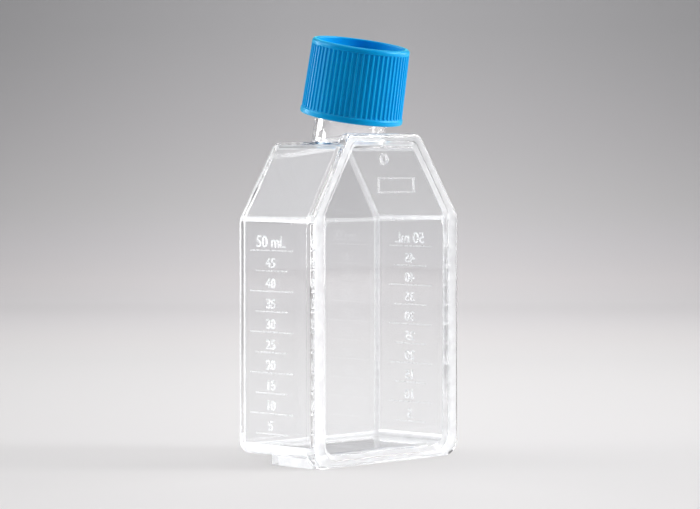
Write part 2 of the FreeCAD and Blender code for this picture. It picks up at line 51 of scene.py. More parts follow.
# ---------------------------------------------------------------------------
# Material helpers
# ---------------------------------------------------------------------------
def srgb(r, g, b, a=1.0):
    """A colour written as 0 to 255 sRGB, as the linear numbers that shaders take."""
    def linear(c):
        c /= 255
        return c / 12.92 if c <= 0.04045 else ((c + 0.055) / 1.055) ** 2.4
    return (linear(r), linear(g), linear(b), a)


def new_material(name):
    """A new material with its node tree, empty but for the output node."""
    material = bpy.data.materials.new(name)
    material.use_nodes = True
    tree = material.node_tree
    tree.nodes.clear()
    output = tree.nodes.new("ShaderNodeOutputMaterial")
    return material, tree, output


def add(tree, kind, **settings):
    """A new node with these settings."""
    node = tree.nodes.new(kind)
    for key, value in settings.items():
        setattr(node, key, value)
    return node


def math_node(tree, operation, a, b=None):
    """The result of an operation on sockets or numbers."""
    node = add(tree, "ShaderNodeMath", operation=operation)
    for socket, value in zip(node.inputs, (a, b)):
        if value is None:
            continue
        if isinstance(value, bpy.types.NodeSocket):
            tree.links.new(value, socket)
        else:
            socket.default_value = value
    return node.outputs[0]


def noise(tree, scale, detail=2.0, roughness=0.5, stretch=None):
    """Noise in the object's own metres."""
    coords = add(tree, "ShaderNodeTexCoord")
    node = add(tree, "ShaderNodeTexNoise")
    node.inputs["Scale"].default_value = scale
    node.inputs["Detail"].default_value = detail
    node.inputs["Roughness"].default_value = roughness
    source = coords.outputs["Object"]
    if stretch:
        mapping = add(tree, "ShaderNodeMapping")
        mapping.inputs["Scale"].default_value = stretch
        tree.links.new(source, mapping.inputs["Vector"])
        source = mapping.outputs["Vector"]
    tree.links.new(source, node.inputs["Vector"])
    return node.outputs["Fac"]


def spread(tree, value, old, new):
    """Map a value's range, a pair of numbers, onto another one."""
    node = add(tree, "ShaderNodeMapRange")
    tree.links.new(value, node.inputs["Value"])
    for name, number in zip(("From Min", "From Max", "To Min", "To Max"), (*old, *new)):
        node.inputs[name].default_value = number
    return node.outputs["Result"]


def ramp(tree, value, stops):
    """Colours along a value from 0 to 1, from pairs of a position and a colour."""
    node = add(tree, "ShaderNodeValToRGB")
    elements = node.color_ramp.elements
    while len(elements) < len(stops):
        elements.new(0.5)
    for element, (position, colour) in zip(elements, stops):
        element.position = position
        element.color = colour
    tree.links.new(value, node.inputs[0])
    return node.outputs[0]


def bump(tree, height, strength, distance):
    """A normal that follows a height; distance is its depth in metres."""
    node = add(tree, "ShaderNodeBump")
    node.inputs["Strength"].default_value = strength
    node.inputs["Distance"].default_value = distance
    tree.links.new(height, node.inputs["Height"])
    return node.outputs["Normal"]


def set_inputs(shader, values):
    """Constant values on a shader's own sockets, by their names."""
    for name, value in values.items():
        shader.inputs[name].default_value = value


# ---------------------------------------------------------------------------
# Materials
# ---------------------------------------------------------------------------
MOST_TURNS = 14                # light that turned more often than this in a wall is let out
SURFACE_PASS = 0.93            # share of the lamps' light that a clear surface lets through
CLOUDED_PASS = 0.9
CLEAR_TINT = (0.985, 0.99, 0.995, 1)
MATT_TINT = (0.95, 0.96, 0.97, 1)
CLOUD_TINT = (0.97, 0.98, 1.0, 1)
POLYSTYRENE_IOR = 1.59
EDGE_CLOUD = 0.38              # shares of the light that the clouded plastic scatters
LINE_CLOUD = 0.23
MARK_CLOUD = 0.25
NOISE_BULK = (0.3, 0.7)        # the range that most of a noise's values lie in


def lamps_through(tree, shader, output, passed):
    """Clear plastic that lets the lamps' light through to what is behind it.

    Matt surfaces near it are lit straight through it, so that their light counts once.
    It also lets out light that has turned in it more than MOST_TURNS times, as the small
    faults of real plastic do; in faultless walls such light would be caught, and look black.
    """
    path = add(tree, "ShaderNodeLightPath")
    open_way = add(tree, "ShaderNodeBsdfTransparent")
    open_way.inputs["Color"].default_value = (passed, passed, passed, 1)
    mix = add(tree, "ShaderNodeMixShader")
    caught = math_node(tree, "GREATER_THAN", path.outputs["Ray Depth"], MOST_TURNS)
    passes = math_node(tree, "MAXIMUM", path.outputs["Is Shadow Ray"], caught)
    from_matt = math_node(tree, "GREATER_THAN", path.outputs["Diffuse Depth"], 0)
    passes = math_node(tree, "MAXIMUM", passes, from_matt)
    tree.links.new(passes, mix.inputs[0])
    tree.links.new(shader, mix.inputs[1])
    tree.links.new(open_way.outputs[0], mix.inputs[2])
    tree.links.new(mix.outputs[0], output.inputs["Surface"])


def clear_shader(tree, tint):
    """Clear polystyrene, still without its roughness and its skin."""
    shader = add(tree, "ShaderNodeBsdfPrincipled")
    set_inputs(shader, {
        "Base Color": tint, "IOR": POLYSTYRENE_IOR, "Transmission Weight": 1.0,
    })
    return shader


def flow_waves(tree, shader):
    """The faint waves that the flow into the mould leaves, long in Z."""
    flow = noise(tree, 60, roughness=0.4, stretch=(1.0, 1.0, 0.35))
    waves = bump(tree, flow, strength=0.08, distance=0.4 * MM)
    tree.links.new(waves, shader.inputs["Normal"])


def clear_polystyrene():
    """Crystal polystyrene from a polished mould: faint flow waviness, slight haze."""
    material, tree, output = new_material("clear_polystyrene")
    shader = clear_shader(tree, CLEAR_TINT)
    haze = spread(tree, noise(tree, 220, detail=3), (0.35, 0.7), (0.0, 0.03))
    tree.links.new(haze, shader.inputs["Roughness"])
    flow_waves(tree, shader)
    lamps_through(tree, shader.outputs[0], output, SURFACE_PASS)
    return material


def milky(tree, clear, share):
    """Cloud a clear plastic: this share of its light is scattered, forwards and back."""
    back = add(tree, "ShaderNodeBsdfDiffuse")
    through = add(tree, "ShaderNodeBsdfTranslucent")
    for scatter in (back, through):
        scatter.inputs["Color"].default_value = CLOUD_TINT
    both = add(tree, "ShaderNodeMixShader")
    both.inputs[0].default_value = 0.5
    tree.links.new(back.outputs[0], both.inputs[1])
    tree.links.new(through.outputs[0], both.inputs[2])
    mix = add(tree, "ShaderNodeMixShader")
    tree.links.new(share, mix.inputs[0])
    tree.links.new(clear.outputs[0], mix.inputs[1])
    tree.links.new(both.outputs[0], mix.inputs[2])
    return mix.outputs[0]


def clouded_edge(name, share):
    """Rounded edges and steps: clear plastic that scatters this share of its light."""
    material, tree, output = new_material(name)
    shader = clear_shader(tree, CLEAR_TINT)
    set_inputs(shader, {"Roughness": 0.06})
    flow_waves(tree, shader)
    blotches = noise(tree, 400, detail=3)
    cloud = spread(tree, blotches, NOISE_BULK, (share * 0.85, share * 1.15))
    lamps_through(tree, milky(tree, shader, cloud), output, CLOUDED_PASS)
    return material


def moulded_mark():
    """Volume lines and numerals: the same plastic with a fine matt skin."""
    material, tree, output = new_material("moulded_mark")
    shader = clear_shader(tree, MATT_TINT)
    grain = noise(tree, 2500)
    tree.links.new(spread(tree, grain, NOISE_BULK, (0.2, 0.4)), shader.inputs["Roughness"])
    skin = bump(tree, grain, strength=0.3, distance=0.05 * MM)
    tree.links.new(skin, shader.inputs["Normal"])
    cloud = spread(tree, grain, NOISE_BULK, (MARK_CLOUD - 0.1, MARK_CLOUD + 0.1))
    lamps_through(tree, milky(tree, shader, cloud), output, CLOUDED_PASS)
    return material


def cap_plastic():
    """Blue polyethylene: satin skin with a fine mould texture and slight colour drift."""
    material, tree, output = new_material("cap_plastic")
    shader = add(tree, "ShaderNodeBsdfPrincipled")
    drift = spread(tree, noise(tree, 90, detail=3), NOISE_BULK, (0, 1))
    blue = ramp(tree, drift, ((0, srgb(0, 156, 227)), (1, srgb(0, 168, 237))))
    tree.links.new(blue, shader.inputs["Base Color"])
    grain = noise(tree, 3500, detail=3)
    tree.links.new(spread(tree, grain, NOISE_BULK, (0.26, 0.36)), shader.inputs["Roughness"])
    skin = bump(tree, grain, strength=0.12, distance=0.03 * MM)
    tree.links.new(skin, shader.inputs["Normal"])
    set_inputs(shader, {
        "IOR": 1.5, "Specular IOR Level": 0.4, "Specular Tint": (0.15, 0.8, 1.0, 1),
        "Sheen Weight": 0.8, "Sheen Roughness": 0.45, "Sheen Tint": (0.08, 0.88, 0.98, 1),
        "Subsurface Weight": 0.25, "Subsurface Scale": 1.2 * MM,
        "Subsurface Radius": (0.3, 0.8, 1.0),
    })
    tree.links.new(shader.outputs[0], output.inputs["Surface"])
    return material


def membrane_fibre():
    """Matt filter membrane: off-white with a fine pore texture."""
    material, tree, output = new_material("membrane_fibre")
    shader = add(tree, "ShaderNodeBsdfPrincipled")
    pores = noise(tree, 6000, detail=4, roughness=0.7)
    depth = spread(tree, pores, NOISE_BULK, (0, 1))
    white = ramp(tree, depth, ((0, srgb(205, 210, 214)), (1, srgb(240, 242, 243))))
    tree.links.new(white, shader.inputs["Base Color"])
    set_inputs(shader, {"Roughness": 0.9})
    skin = bump(tree, pores, strength=0.5, distance=0.04 * MM)
    tree.links.new(skin, shader.inputs["Normal"])
    tree.links.new(shader.outputs[0], output.inputs["Surface"])
    return material


CLEAR = clear_polystyrene()
MARK = moulded_mark()
EDGE = clouded_edge("rim_edge", EDGE_CLOUD)
FAINT = clouded_edge("raised_line", LINE_CLOUD)


def dress(node, material):
    """Give a CAD node its material."""
    slots = NODES[node].material_slots
    for slot in slots:
        slot.material = material
    if not slots:
        NODES[node].data.materials.append(material)


dress("cap_shell", cap_plastic())
dress("vent_membrane", membrane_fibre())

# ---------------------------------------------------------------------------
# Flask: tray and roof plate, welded into one piece of clear plastic
# ---------------------------------------------------------------------------
# tray
WALL_SIDE = 23.0 * MM          # outside of the narrow walls
TRAY_FRONT = -9.2 * MM         # where the tray meets the roof plate
SHOULDER = 55.9 * MM           # where the narrow walls end
NECK_FOOT = 72.5 * MM
FOOT_TOP = 2.0 * MM
FOOT_FRONT = -9.0 * MM
MARK_PROUD = 0.02 * MM         # a face this far off a narrow wall belongs to a volume line
# roof plate
ROOF_FRONT = -11.5 * MM        # front of the rim, below the bend
ROOF_BEND = 56.34 * MM
ROOF_TOP = 75.5 * MM
ROOF_DROP = 0.8 * MM           # how far the roof plate leans in above the bend
ROOF_SLANT = 0.5707            # its shoulders, from upright, in radians
RIM_SIDE = 24.5 * MM
RIM_THICK = 2.3 * MM
RIM_RADII = (4.0 * MM, 3.0 * MM, 2.6 * MM)         # corners at base, shoulder and top
SHOULDER_BAND = 3.8 * MM       # rim's width along the shoulders
WINDOW_SIDE = 19.5 * MM
WINDOW_BASE = 2.8 * MM
WINDOW_TOP = 72.5 * MM
WINDOW_RADII = (3.0 * MM, 0.4 * MM, 1.0 * MM)
WINDOW_DEPTH = 0.7 * MM
WINDOW_FLARE = 1.2 * MM        # the window's edge slopes out this far towards the rim
FRONT_ROUND = 0.9 * MM
BACK_ROUND = 0.8 * MM
BRINK_ROUND = 0.35 * MM
# marks on the window
FRAME_LEFT, FRAME_RIGHT = -2.2 * MM, 10.0 * MM
FRAME_LOW, FRAME_HIGH = 61.8 * MM, 65.4 * MM
FRAME_LINE = 0.4 * MM
FRAME_RELIEF = 0.3 * MM
GATE_HIGH = 69.6 * MM
GATE_RADIUS = 1.35 * MM
GATE_RELIEF = 0.35 * MM
DIMPLE_RADIUS = 0.75 * MM
RIDGE_WIDTH = 0.9 * MM
RIDGE_ARC = 1.7 * MM
RIDGE_RELIEF = 0.2 * MM
TUCK = 0.2 * MM                # how far the ridge's ends run into the window's step
SUNK_MARK = 0.3 * MM           # how deep the marks' feet are melted into the window
# how finely the roof plate is cut
CORNER_STEPS = 10              # faces round a corner of an outline
EDGE_STEPS = 5                 # faces across a rounded edge
RIDGE_STEPS = 8                # faces along each of the ridge's arcs
GATE_POINTS = 32
# points beside the shoulder, as heights above the bend in millimetres
SHOULDER_ROWS = (-1.2, -0.9, -0.6, -0.3, 0, 0.25, 0.5, 0.75, 1.0, 1.4, 1.8, 2.2)
# weld and shading
JOINED = 1e-6                  # points closer than this, in metres, are one point
WELD_DEPTH = 0.05 * MM         # how deep the tray's edge is melted into the roof plate
SMOOTH_LIMIT = math.radians(28)
FLAT_WIDTH = 0.7 * MM          # a tray face wider than this is a flat, not part of a rounding
ROUNDING_AREA = 60 * MM * MM   # no face of the tray's roundings is larger,
ROUNDING_CORNERS = 6           # has more corners
ROUNDING_TURN = 0.995          # or looks straighter along an axis than this
# tags that tell the roof's faces apart after the weld; the tray's faces have 0
FLAT, ROUND, BAND_FLAT, RAISED = 1, 2, 3, 4
TAGS = 5
BODY_MATERIALS = (CLEAR, MARK, EDGE, FAINT)


def closed_shape(node):
    """A CAD node's mesh again, with its faces joined along their edges."""
    shell = bmesh.new()
    shell.from_mesh(NODES[node].data)
    bmesh.ops.remove_doubles(shell, verts=shell.verts, dist=JOINED)
    for face in shell.faces:
        face.material_index = 0
    return shell


def evaluated_mesh(piece):
    """The mesh that a piece makes, with its modifiers."""
    bpy.context.view_layer.update()
    graph = bpy.context.evaluated_depsgraph_get()
    return bpy.data.meshes.new_from_object(
        piece.evaluated_get(graph), preserve_all_data_layers=True, depsgraph=graph
    )


def is_tray_rounding(face):
    """The tray's roundings, but not its neck's: narrow faces, off the main planes."""
    if face.material_index or face.center.z > NECK_FOOT or face.loop_total > ROUNDING_CORNERS:
        return False
    straightest = max(abs(part) for part in face.normal)
    return face.area < ROUNDING_AREA and straightest < ROUNDING_TURN


def is_foot(face):
    """The low wall that the tray stands on."""
    return face.center.z < FOOT_TOP and face.center.y > FOOT_FRONT


def is_volume_line(face):
    """The volume lines stand proud of the narrow walls, between seam and culture wall."""
    middle = face.center
    on_wall = middle.y > TRAY_FRONT and middle.z < SHOULDER
    return on_wall and abs(middle.x) > WALL_SIDE + MARK_PROUD


def body_material(face):
    """The material of a face of the welded flask, by its tag or its place."""
    if is_volume_line(face):
        return MARK
    if face.material_index == RAISED:
        return FAINT
    if face.material_index == BAND_FLAT or is_tray_rounding(face) or is_foot(face):
        return EDGE
    return CLEAR


def lean(high):
    """How far the roof plate has leant in at this height."""
    return max(0, high - ROOF_BEND) / (ROOF_TOP - ROOF_BEND) * ROOF_DROP


def arc(centre, radius, start, stop, steps):
    """Points of an arc; angles in degrees."""
    for i in range(steps + 1):
        turn = math.radians(start + (stop - start) * i / steps)
        yield centre[0] + radius * math.cos(turn), centre[1] + radius * math.sin(turn)


def half_outline(side, base, top, slant_line, radii):
    """Right half of an outline, from its base to its top, as (x, z) points.

    slant_line is where the shoulder's line, carried down, meets z = 0.
    radii are those of the base, shoulder and top corners.
    """
    foot, bend, crown = radii
    steep = math.tan(ROOF_SLANT)
    corner = (slant_line - side) / steep
    middle = corner - bend * math.tan(ROOF_SLANT / 2)

    def edge(high):
        if high <= middle:
            return side
        beyond = high - middle
        if beyond < bend * math.sin(ROOF_SLANT):
            return side - bend + math.sqrt(bend * bend - beyond * beyond)
        return slant_line - high * steep

    points = list(arc((side - foot, base + foot), foot, -90, 0, CORNER_STEPS))
    points += [(edge(ROOF_BEND + rise * MM), ROOF_BEND + rise * MM) for rise in SHOULDER_ROWS]
    # the top corner's centre lies one radius from the top and from the shoulder's line
    centre_high = top - crown
    centre_side = slant_line - centre_high * steep - crown / math.cos(ROOF_SLANT)
    degrees = math.degrees(ROOF_SLANT)
    points += list(arc((centre_side, centre_high), crown, degrees, 90, CORNER_STEPS))
    return points


def rim_loop(inset):
    """The roof plate's outline, moved in by inset."""
    slant_line = RIM_SIDE + ROOF_BEND * math.tan(ROOF_SLANT) - inset / math.cos(ROOF_SLANT)
    return half_outline(
        RIM_SIDE - inset, inset, ROOF_TOP - inset, slant_line,
        [radius - inset for radius in RIM_RADII],
    )


def window_loop(outset):
    """The window's outline, moved out by outset."""
    slant_line = RIM_SIDE + ROOF_BEND * math.tan(ROOF_SLANT)
    slant_line -= (SHOULDER_BAND - outset) / math.cos(ROOF_SLANT)
    return half_outline(
        WINDOW_SIDE + outset, WINDOW_BASE - outset, WINDOW_TOP + outset, slant_line,
        [radius + outset for radius in WINDOW_RADII],
    )


def roof_profile():
    """Loops from the plate's back round its edge to the window, as (points, depth, tag)."""
    steps = EDGE_STEPS
    yield rim_loop(BACK_ROUND), RIM_THICK, ROUND
    for i in range(1, steps + 1):
        turn = math.pi / 2 * i / steps
        inset = BACK_ROUND * (1 - math.sin(turn))
        yield rim_loop(inset), RIM_THICK - BACK_ROUND * (1 - math.cos(turn)), ROUND
    for i in range(steps + 1):
        turn = math.pi / 2 * i / steps
        inset = FRONT_ROUND * (1 - math.cos(turn))
        yield rim_loop(inset), FRONT_ROUND * (1 - math.sin(turn)), ROUND if i else FLAT
    # the sloping step: rounded at its brink and in its trough, both by the same radius
    slope = math.atan2(WINDOW_DEPTH, WINDOW_FLARE)
    reach = BRINK_ROUND * math.tan(slope / 2)
    for i in range(steps + 1):
        turn = slope * i / steps
        outset = WINDOW_FLARE + reach - BRINK_ROUND * math.sin(turn)
        yield window_loop(outset), BRINK_ROUND * (1 - math.cos(turn)), ROUND if i else BAND_FLAT
    for i in range(steps, -1, -1):
        turn = slope * i / steps
        outset = -reach + BRINK_ROUND * math.sin(turn)
        depth = WINDOW_DEPTH - BRINK_ROUND * (1 - math.cos(turn))
        yield window_loop(outset), depth, BAND_FLAT if i == steps else ROUND


def mirrored(points):
    """The same outline on the other side of x = 0, running back."""
    return [(-x, z) for x, z in reversed(points)]


def band(shape, first, second, tag):
    """Faces between two rows of points that run round."""
    for i in range(len(first)):
        j = (i + 1) % len(first)
        shape.faces.new((first[i], first[j], second[j], second[i])).material_index = tag


def roof_shape():
    """The roof plate with rounded edges and a sloping step round its window."""
    roof = bmesh.new()
    rows, tags = [], []
    for half, depth, tag in roof_profile():
        whole = half + mirrored(half)
        rows.append([roof.verts.new((x, ROOF_FRONT + depth + lean(z), z)) for x, z in whole])
        tags.append(tag)
    for inner, outer, tag in zip(rows, rows[1:], tags[1:]):
        band(roof, inner, outer, tag)
    # back and window are two faces each, which meet along the bend
    right = CORNER_STEPS + 1 + SHOULDER_ROWS.index(0)
    left = len(rows[0]) - 1 - right
    for row, order in ((rows[0], -1), (rows[-1], 1)):
        below = row[:right + 1] + row[left:]
        above = row[right:left + 1]
        for ring in (below, above):
            roof.faces.new(ring[::order]).material_index = FLAT
    bmesh.ops.recalc_face_normals(roof, faces=roof.faces)
    return roof


def add_ring(shape, outer, inner, relief):
    """A raised ring on the window, between two outlines."""
    def row(points, level):
        return [shape.verts.new((x, ROOF_FRONT + level + lean(z), z)) for x, z in points]

    depth, sunk = WINDOW_DEPTH - relief, WINDOW_DEPTH + SUNK_MARK
    outside = row(outer, sunk), row(outer, depth)
    inside = row(inner, sunk), row(inner, depth)
    band(shape, outside[0], outside[1], RAISED)
    band(shape, outside[1], inside[1], RAISED)
    band(shape, inside[1], inside[0], RAISED)
    band(shape, inside[0], outside[0], RAISED)


def frame_box(inset):
    """The frame's outline, moved in by inset."""
    left, right = FRAME_LEFT + inset, FRAME_RIGHT - inset
    low, high = FRAME_LOW + inset, FRAME_HIGH - inset
    return [(left, low), (right, low), (right, high), (left, high)]


def gate_circle(radius):
    """A circle round the gate mark's middle."""
    last = 360 * (GATE_POINTS - 1) / GATE_POINTS
    return list(arc((0, GATE_HIGH), radius, 0, last, GATE_POINTS - 1))


def add_ridge(shape):
    """The low ridge across the window just below the bend, running into its sides in arcs."""
    side, top, low = WINDOW_SIDE + TUCK, ROOF_BEND, ROOF_BEND - RIDGE_WIDTH
    centre = side - RIDGE_ARC, low - RIDGE_ARC
    half = [(side, top), *arc(centre, RIDGE_ARC, 0, 90, RIDGE_STEPS)]
    rows = [
        [shape.verts.new((x, ROOF_FRONT + level, z)) for x, z in half + mirrored(half)]
        for level in (WINDOW_DEPTH - RIDGE_RELIEF, WINDOW_DEPTH + SUNK_MARK)
    ]
    for row in rows:
        shape.faces.new(row).material_index = RAISED
    band(shape, *rows, RAISED)


def marks_shape():
    """The raised blank frame, the gate mark and the ridge, all on the window."""
    shape = bmesh.new()
    add_ring(shape, frame_box(0), frame_box(FRAME_LINE), FRAME_RELIEF)
    add_ring(shape, gate_circle(GATE_RADIUS), gate_circle(DIMPLE_RADIUS), GATE_RELIEF)
    add_ridge(shape)
    bmesh.ops.recalc_face_normals(shape, faces=shape.faces)
    return shape


def maker_object(name, shape):
    """A shape as an object that a boolean can use, with a material slot for each tag."""
    mesh = bpy.data.meshes.new(name)
    shape.to_mesh(mesh)
    shape.free()
    for _ in range(TAGS):
        mesh.materials.append(CLEAR)
    piece = bpy.data.objects.new(name, mesh)
    SCENE.collection.objects.link(piece)
    return piece


def fan(loop):
    """The faces round a corner that shade smoothly with it."""
    faces, waiting = {loop.face}, [loop.face]
    while waiting:
        face = waiting.pop()
        for edge in face.edges:
            if loop.vert not in edge.verts or not edge.smooth:
                continue
            for other in edge.link_faces:
                if other not in faces:
                    faces.add(other)
                    waiting.append(other)
    return faces


def is_flat(face):
    """A flat of the roof plate or of the tray, where it shows by the face's width."""
    if face.material_index:
        return face.material_index != ROUND
    return 2 * face.calc_area() > FLAT_WIDTH * face.calc_perimeter()


def corner_normals(body):
    """A normal for each corner: flats stay flat, and roundings run smoothly into them."""
    flats = {face for face in body.faces if is_flat(face)}
    normals = []
    for face in body.faces:
        for loop in face.loops:
            if face in flats:
                normals.append(face.normal.copy())
                continue
            around = fan(loop)
            known = around & flats
            if known:
                normals.append(sum((f.normal for f in known), Vector()).normalized())
            else:
                normals.append(sum((
                    f.normal * corner.calc_angle()
                    for f in around for corner in f.loops if corner.vert == loop.vert
                ), Vector()).normalized())
    return normals


def welded_flask():
    """Tray and roof plate as one solid, so that light crosses the weld inside the plastic."""
    tray = maker_object("tray_form", closed_shape("flask_tray"))
    for vert in tray.data.vertices:
        behind = vert.co.y - ROOF_FRONT - lean(vert.co.z) - RIM_THICK
        if abs(behind) < WELD_DEPTH / 2:
            vert.co.y -= WELD_DEPTH
    makers = [tray, maker_object("roof_form", roof_shape()), maker_object("marks", marks_shape())]
    for other in makers[1:]:
        weld = tray.modifiers.new("weld", "BOOLEAN")
        weld.operation = "UNION"
        weld.solver = "EXACT"
        weld.object = other
    body = bmesh.new()
    body.from_mesh(evaluated_mesh(tray))
    body.normal_update()
    for face in body.faces:
        face.smooth = True
    for edge in body.edges:
        edge.smooth = edge.calc_face_angle(0) < SMOOTH_LIMIT
    normals = corner_normals(body)
    mesh = bpy.data.meshes.new("flask_body")
    body.to_mesh(mesh)
    body.free()
    mesh.normals_split_custom_set(normals)
    for maker in makers:
        bpy.data.objects.remove(maker)
    for material in BODY_MATERIALS:
        mesh.materials.append(material)
    for face in mesh.polygons:
        face.material_index = BODY_MATERIALS.index(body_material(face))
    piece = bpy.data.objects.new("flask_body", mesh)
    SCENE.collection.objects.link(piece)
    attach(piece, "flask")
    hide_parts("flask_tray", "roof_plate")


welded_flask()

# ---------------------------------------------------------------------------
# Raised numerals on both narrow walls
# ---------------------------------------------------------------------------
SCALE_ZERO = 2.6 * MM
SCALE_STEP = 4.63 * MM         # rise for each 5 mL
NUMBER_MIDDLE = 3.1 * MM       # numerals' middle, across the narrow wall
NUMBER_TALL = 2.3 * MM
TITLE_TALL = 2.7 * MM
NUMBER_RISE = 0.75 * MM        # clear space between a line and its number
NUMBER_RELIEF = 0.14 * MM      # how far numerals stand off the wall
NUMBER_SUNK = 0.02 * MM
NUMBER_BEVEL = 0.03 * MM
FIGURE_HIGH = 0.73             # height of a figure in a font of size 1
VOLUME_STEPS, VOLUME_STEP = 10, 5                  # lines, and mL from one to the next


def text_mesh(text, tall, thick):
    """Figures as a thin solid mesh, centred, standing on its baseline, facing +Z."""
    curve = bpy.data.curves.new("figures", "FONT")
    curve.body = text
    curve.align_x = "CENTER"
    curve.size = tall / FIGURE_HIGH
    curve.extrude = thick / 2
    curve.bevel_depth = NUMBER_BEVEL
    curve.bevel_resolution = 1
    curve.resolution_u = 6
    maker = bpy.data.objects.new("figures", curve)
    SCENE.collection.objects.link(maker)
    mesh = evaluated_mesh(maker)
    bpy.data.objects.remove(maker)
    return mesh


def numerals(side):
    """All the figures of one narrow wall, as one piece. side is -1 or +1 along X."""
    whole = bmesh.new()
    thick = NUMBER_RELIEF + NUMBER_SUNK
    across, out = Vector((0, side, 0)), Vector((side, 0, 0))
    turn = Matrix((across, UP, out)).transposed().to_4x4()
    for step in range(1, VOLUME_STEPS + 1):
        text, tall = "%d" % (VOLUME_STEP * step), NUMBER_TALL
        if step == VOLUME_STEPS:
            text, tall = text + " mL", TITLE_TALL
        level = SCALE_ZERO + SCALE_STEP * step + NUMBER_RISE
        place = Vector((side * (WALL_SIDE - NUMBER_SUNK + thick / 2), NUMBER_MIDDLE, level))
        mesh = text_mesh(text, tall, thick)
        mesh.transform(Matrix.Translation(place) @ turn)
        whole.from_mesh(mesh)
        bpy.data.meshes.remove(mesh)
    bmesh.ops.remove_doubles(whole, verts=whole.verts, dist=JOINED)
    bmesh.ops.recalc_face_normals(whole, faces=whole.faces)
    mesh = bpy.data.meshes.new("numerals")
    whole.to_mesh(mesh)
    whole.free()
    mesh.materials.append(MARK)
    piece = bpy.data.objects.new("numerals_%s" % ("left" if side < 0 else "right"), mesh)
    SCENE.collection.objects.link(piece)
    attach(piece, "flask")


numerals(-1)
numerals(1)

# ---------------------------------------------------------------------------
# Floor and backdrop: one sheet that sweeps up behind the flask
# ---------------------------------------------------------------------------
# its profile along the line of sight, in metres from the flask's middle
SWEEP_FRONT, SWEEP_BACK, SWEEP_TOP = -1.6, 1.0, 2.2
SWEEP_RADIUS = 0.35            # of the curve between floor and wall
SWEEP_HALF = 1.1               # half its width
CURVE_STEPS = 24
# its colour by distance behind the flask, as painted light and shade: the stops even out the
# lamps' light on the floor and paint shade on the wall, darker upwards
SWEEP_PAINTED_SHADES = (
    (0.10, srgb(235, 233, 233)), (0.32, srgb(235, 233, 233)), (0.42, srgb(239, 236, 236)),
    (0.55, srgb(244, 241, 242)), (0.68, srgb(249, 246, 247)), (0.73, srgb(243, 239, 240)),
    (0.78, srgb(230, 227, 229)), (0.82, srgb(218, 216, 217)), (0.88, srgb(201, 199, 201)),
    (0.93, srgb(185, 184, 186)), (1.0, srgb(175, 174, 177)),
)
# painted shade: how much of that colour is left, by distance to both sides, darker out where the
# lamps stand to cancel their pools of light
SIDE_PAINTED_SHADE = (0.03, 1.0), (0.085, 0.93), (0.18, 0.78), (0.35, 0.58), (0.6, 0.4), (1.0, 0.28)
# and painted shade towards the camera, which dims the light that the floor throws onto the cap, as
# two distances and the shares there
FRONT_PAINTED_SHADE = (-0.4, -0.14), (0.4, 1.0)


def along(tree, coordinates, axis):
    """How far a place lies, or a direction points, along an axis."""
    node = add(tree, "ShaderNodeVectorMath", operation="DOT_PRODUCT")
    tree.links.new(coordinates, node.inputs[0])
    node.inputs[1].default_value = axis
    return node.outputs["Value"]


def sweep_material():
    """Matt paper whose colour changes with the place on the sweep, as painted light and shade."""
    material, tree, output = new_material("pale_sweep_painted_shade")
    shader = add(tree, "ShaderNodeBsdfPrincipled")
    place = add(tree, "ShaderNodeTexCoord").outputs["Object"]
    away = along(tree, place, SIGHT)
    off_axis = math_node(tree, "ABSOLUTE", along(tree, place, ACROSS))
    greys = [(distance, (share, share, share, 1)) for distance, share in SIDE_PAINTED_SHADE]
    # painted shade: the share of the colour left towards the sides and towards the camera
    painted_shade_share = math_node(
        tree, "MULTIPLY", ramp(tree, off_axis, greys), spread(tree, away, *FRONT_PAINTED_SHADE),
    )
    # a Mix node's colours are its inputs 6 and 7 and its output 2
    painted_shade_mix = add(tree, "ShaderNodeMix", data_type="RGBA", blend_type="MULTIPLY")
    painted_shade_mix.inputs["Factor"].default_value = 1.0
    tree.links.new(ramp(tree, away, SWEEP_PAINTED_SHADES), painted_shade_mix.inputs[6])
    tree.links.new(painted_shade_share, painted_shade_mix.inputs[7])
    tree.links.new(painted_shade_mix.outputs[2], shader.inputs["Base Color"])
    set_inputs(shader, {"Roughness": 1.0, "Specular IOR Level": 0.0})
    tree.links.new(shader.outputs[0], output.inputs["Surface"])
    return material


def sweep():
    """One sheet: floor, curve, wall."""
    curve_start = SWEEP_BACK - SWEEP_RADIUS
    profile = [(SWEEP_FRONT, 0.0)]
    for i in range(CURVE_STEPS + 1):
        turn = math.pi / 2 * i / CURVE_STEPS
        profile.append((
            curve_start + SWEEP_RADIUS * math.sin(turn), SWEEP_RADIUS * (1 - math.cos(turn)),
        ))
    profile.append((SWEEP_BACK, SWEEP_TOP))
    grid = bmesh.new()
    rows = []
    for behind, high in profile:
        centre = SIGHT * behind + UP * high
        rows.append([grid.verts.new(centre + ACROSS * side) for side in (-SWEEP_HALF, SWEEP_HALF)])
    for low, high in zip(rows, rows[1:]):
        grid.faces.new((low[0], low[1], high[1], high[0]))
    mesh = bpy.data.meshes.new("sweep")
    grid.to_mesh(mesh)
    grid.free()
    for face in mesh.polygons:
        face.use_smooth = True
    mesh.materials.append(sweep_material())
    piece = bpy.data.objects.new("sweep", mesh)
    SCENE.collection.objects.link(piece)


sweep()


# ---------------------------------------------------------------------------
# Light
# ---------------------------------------------------------------------------
LAMPS_AIM = Vector((0, 0, 0.05))
# brightness of the studio in front, at the sides and overhead: as it lights matt surfaces,
# and as it is seen, mirrored and refracted
LIGHTING = 0.02, 0.15, 0.45
SURROUNDINGS = 0.32, 0.6, 1.7
STUDIO_TINT = (0.985, 0.99, 1.0, 1)
# where the front ends, and where overhead begins, as parts of the direction's length
FRONT_END = -0.7, -0.2
OVERHEAD_START = 0.4, 0.7


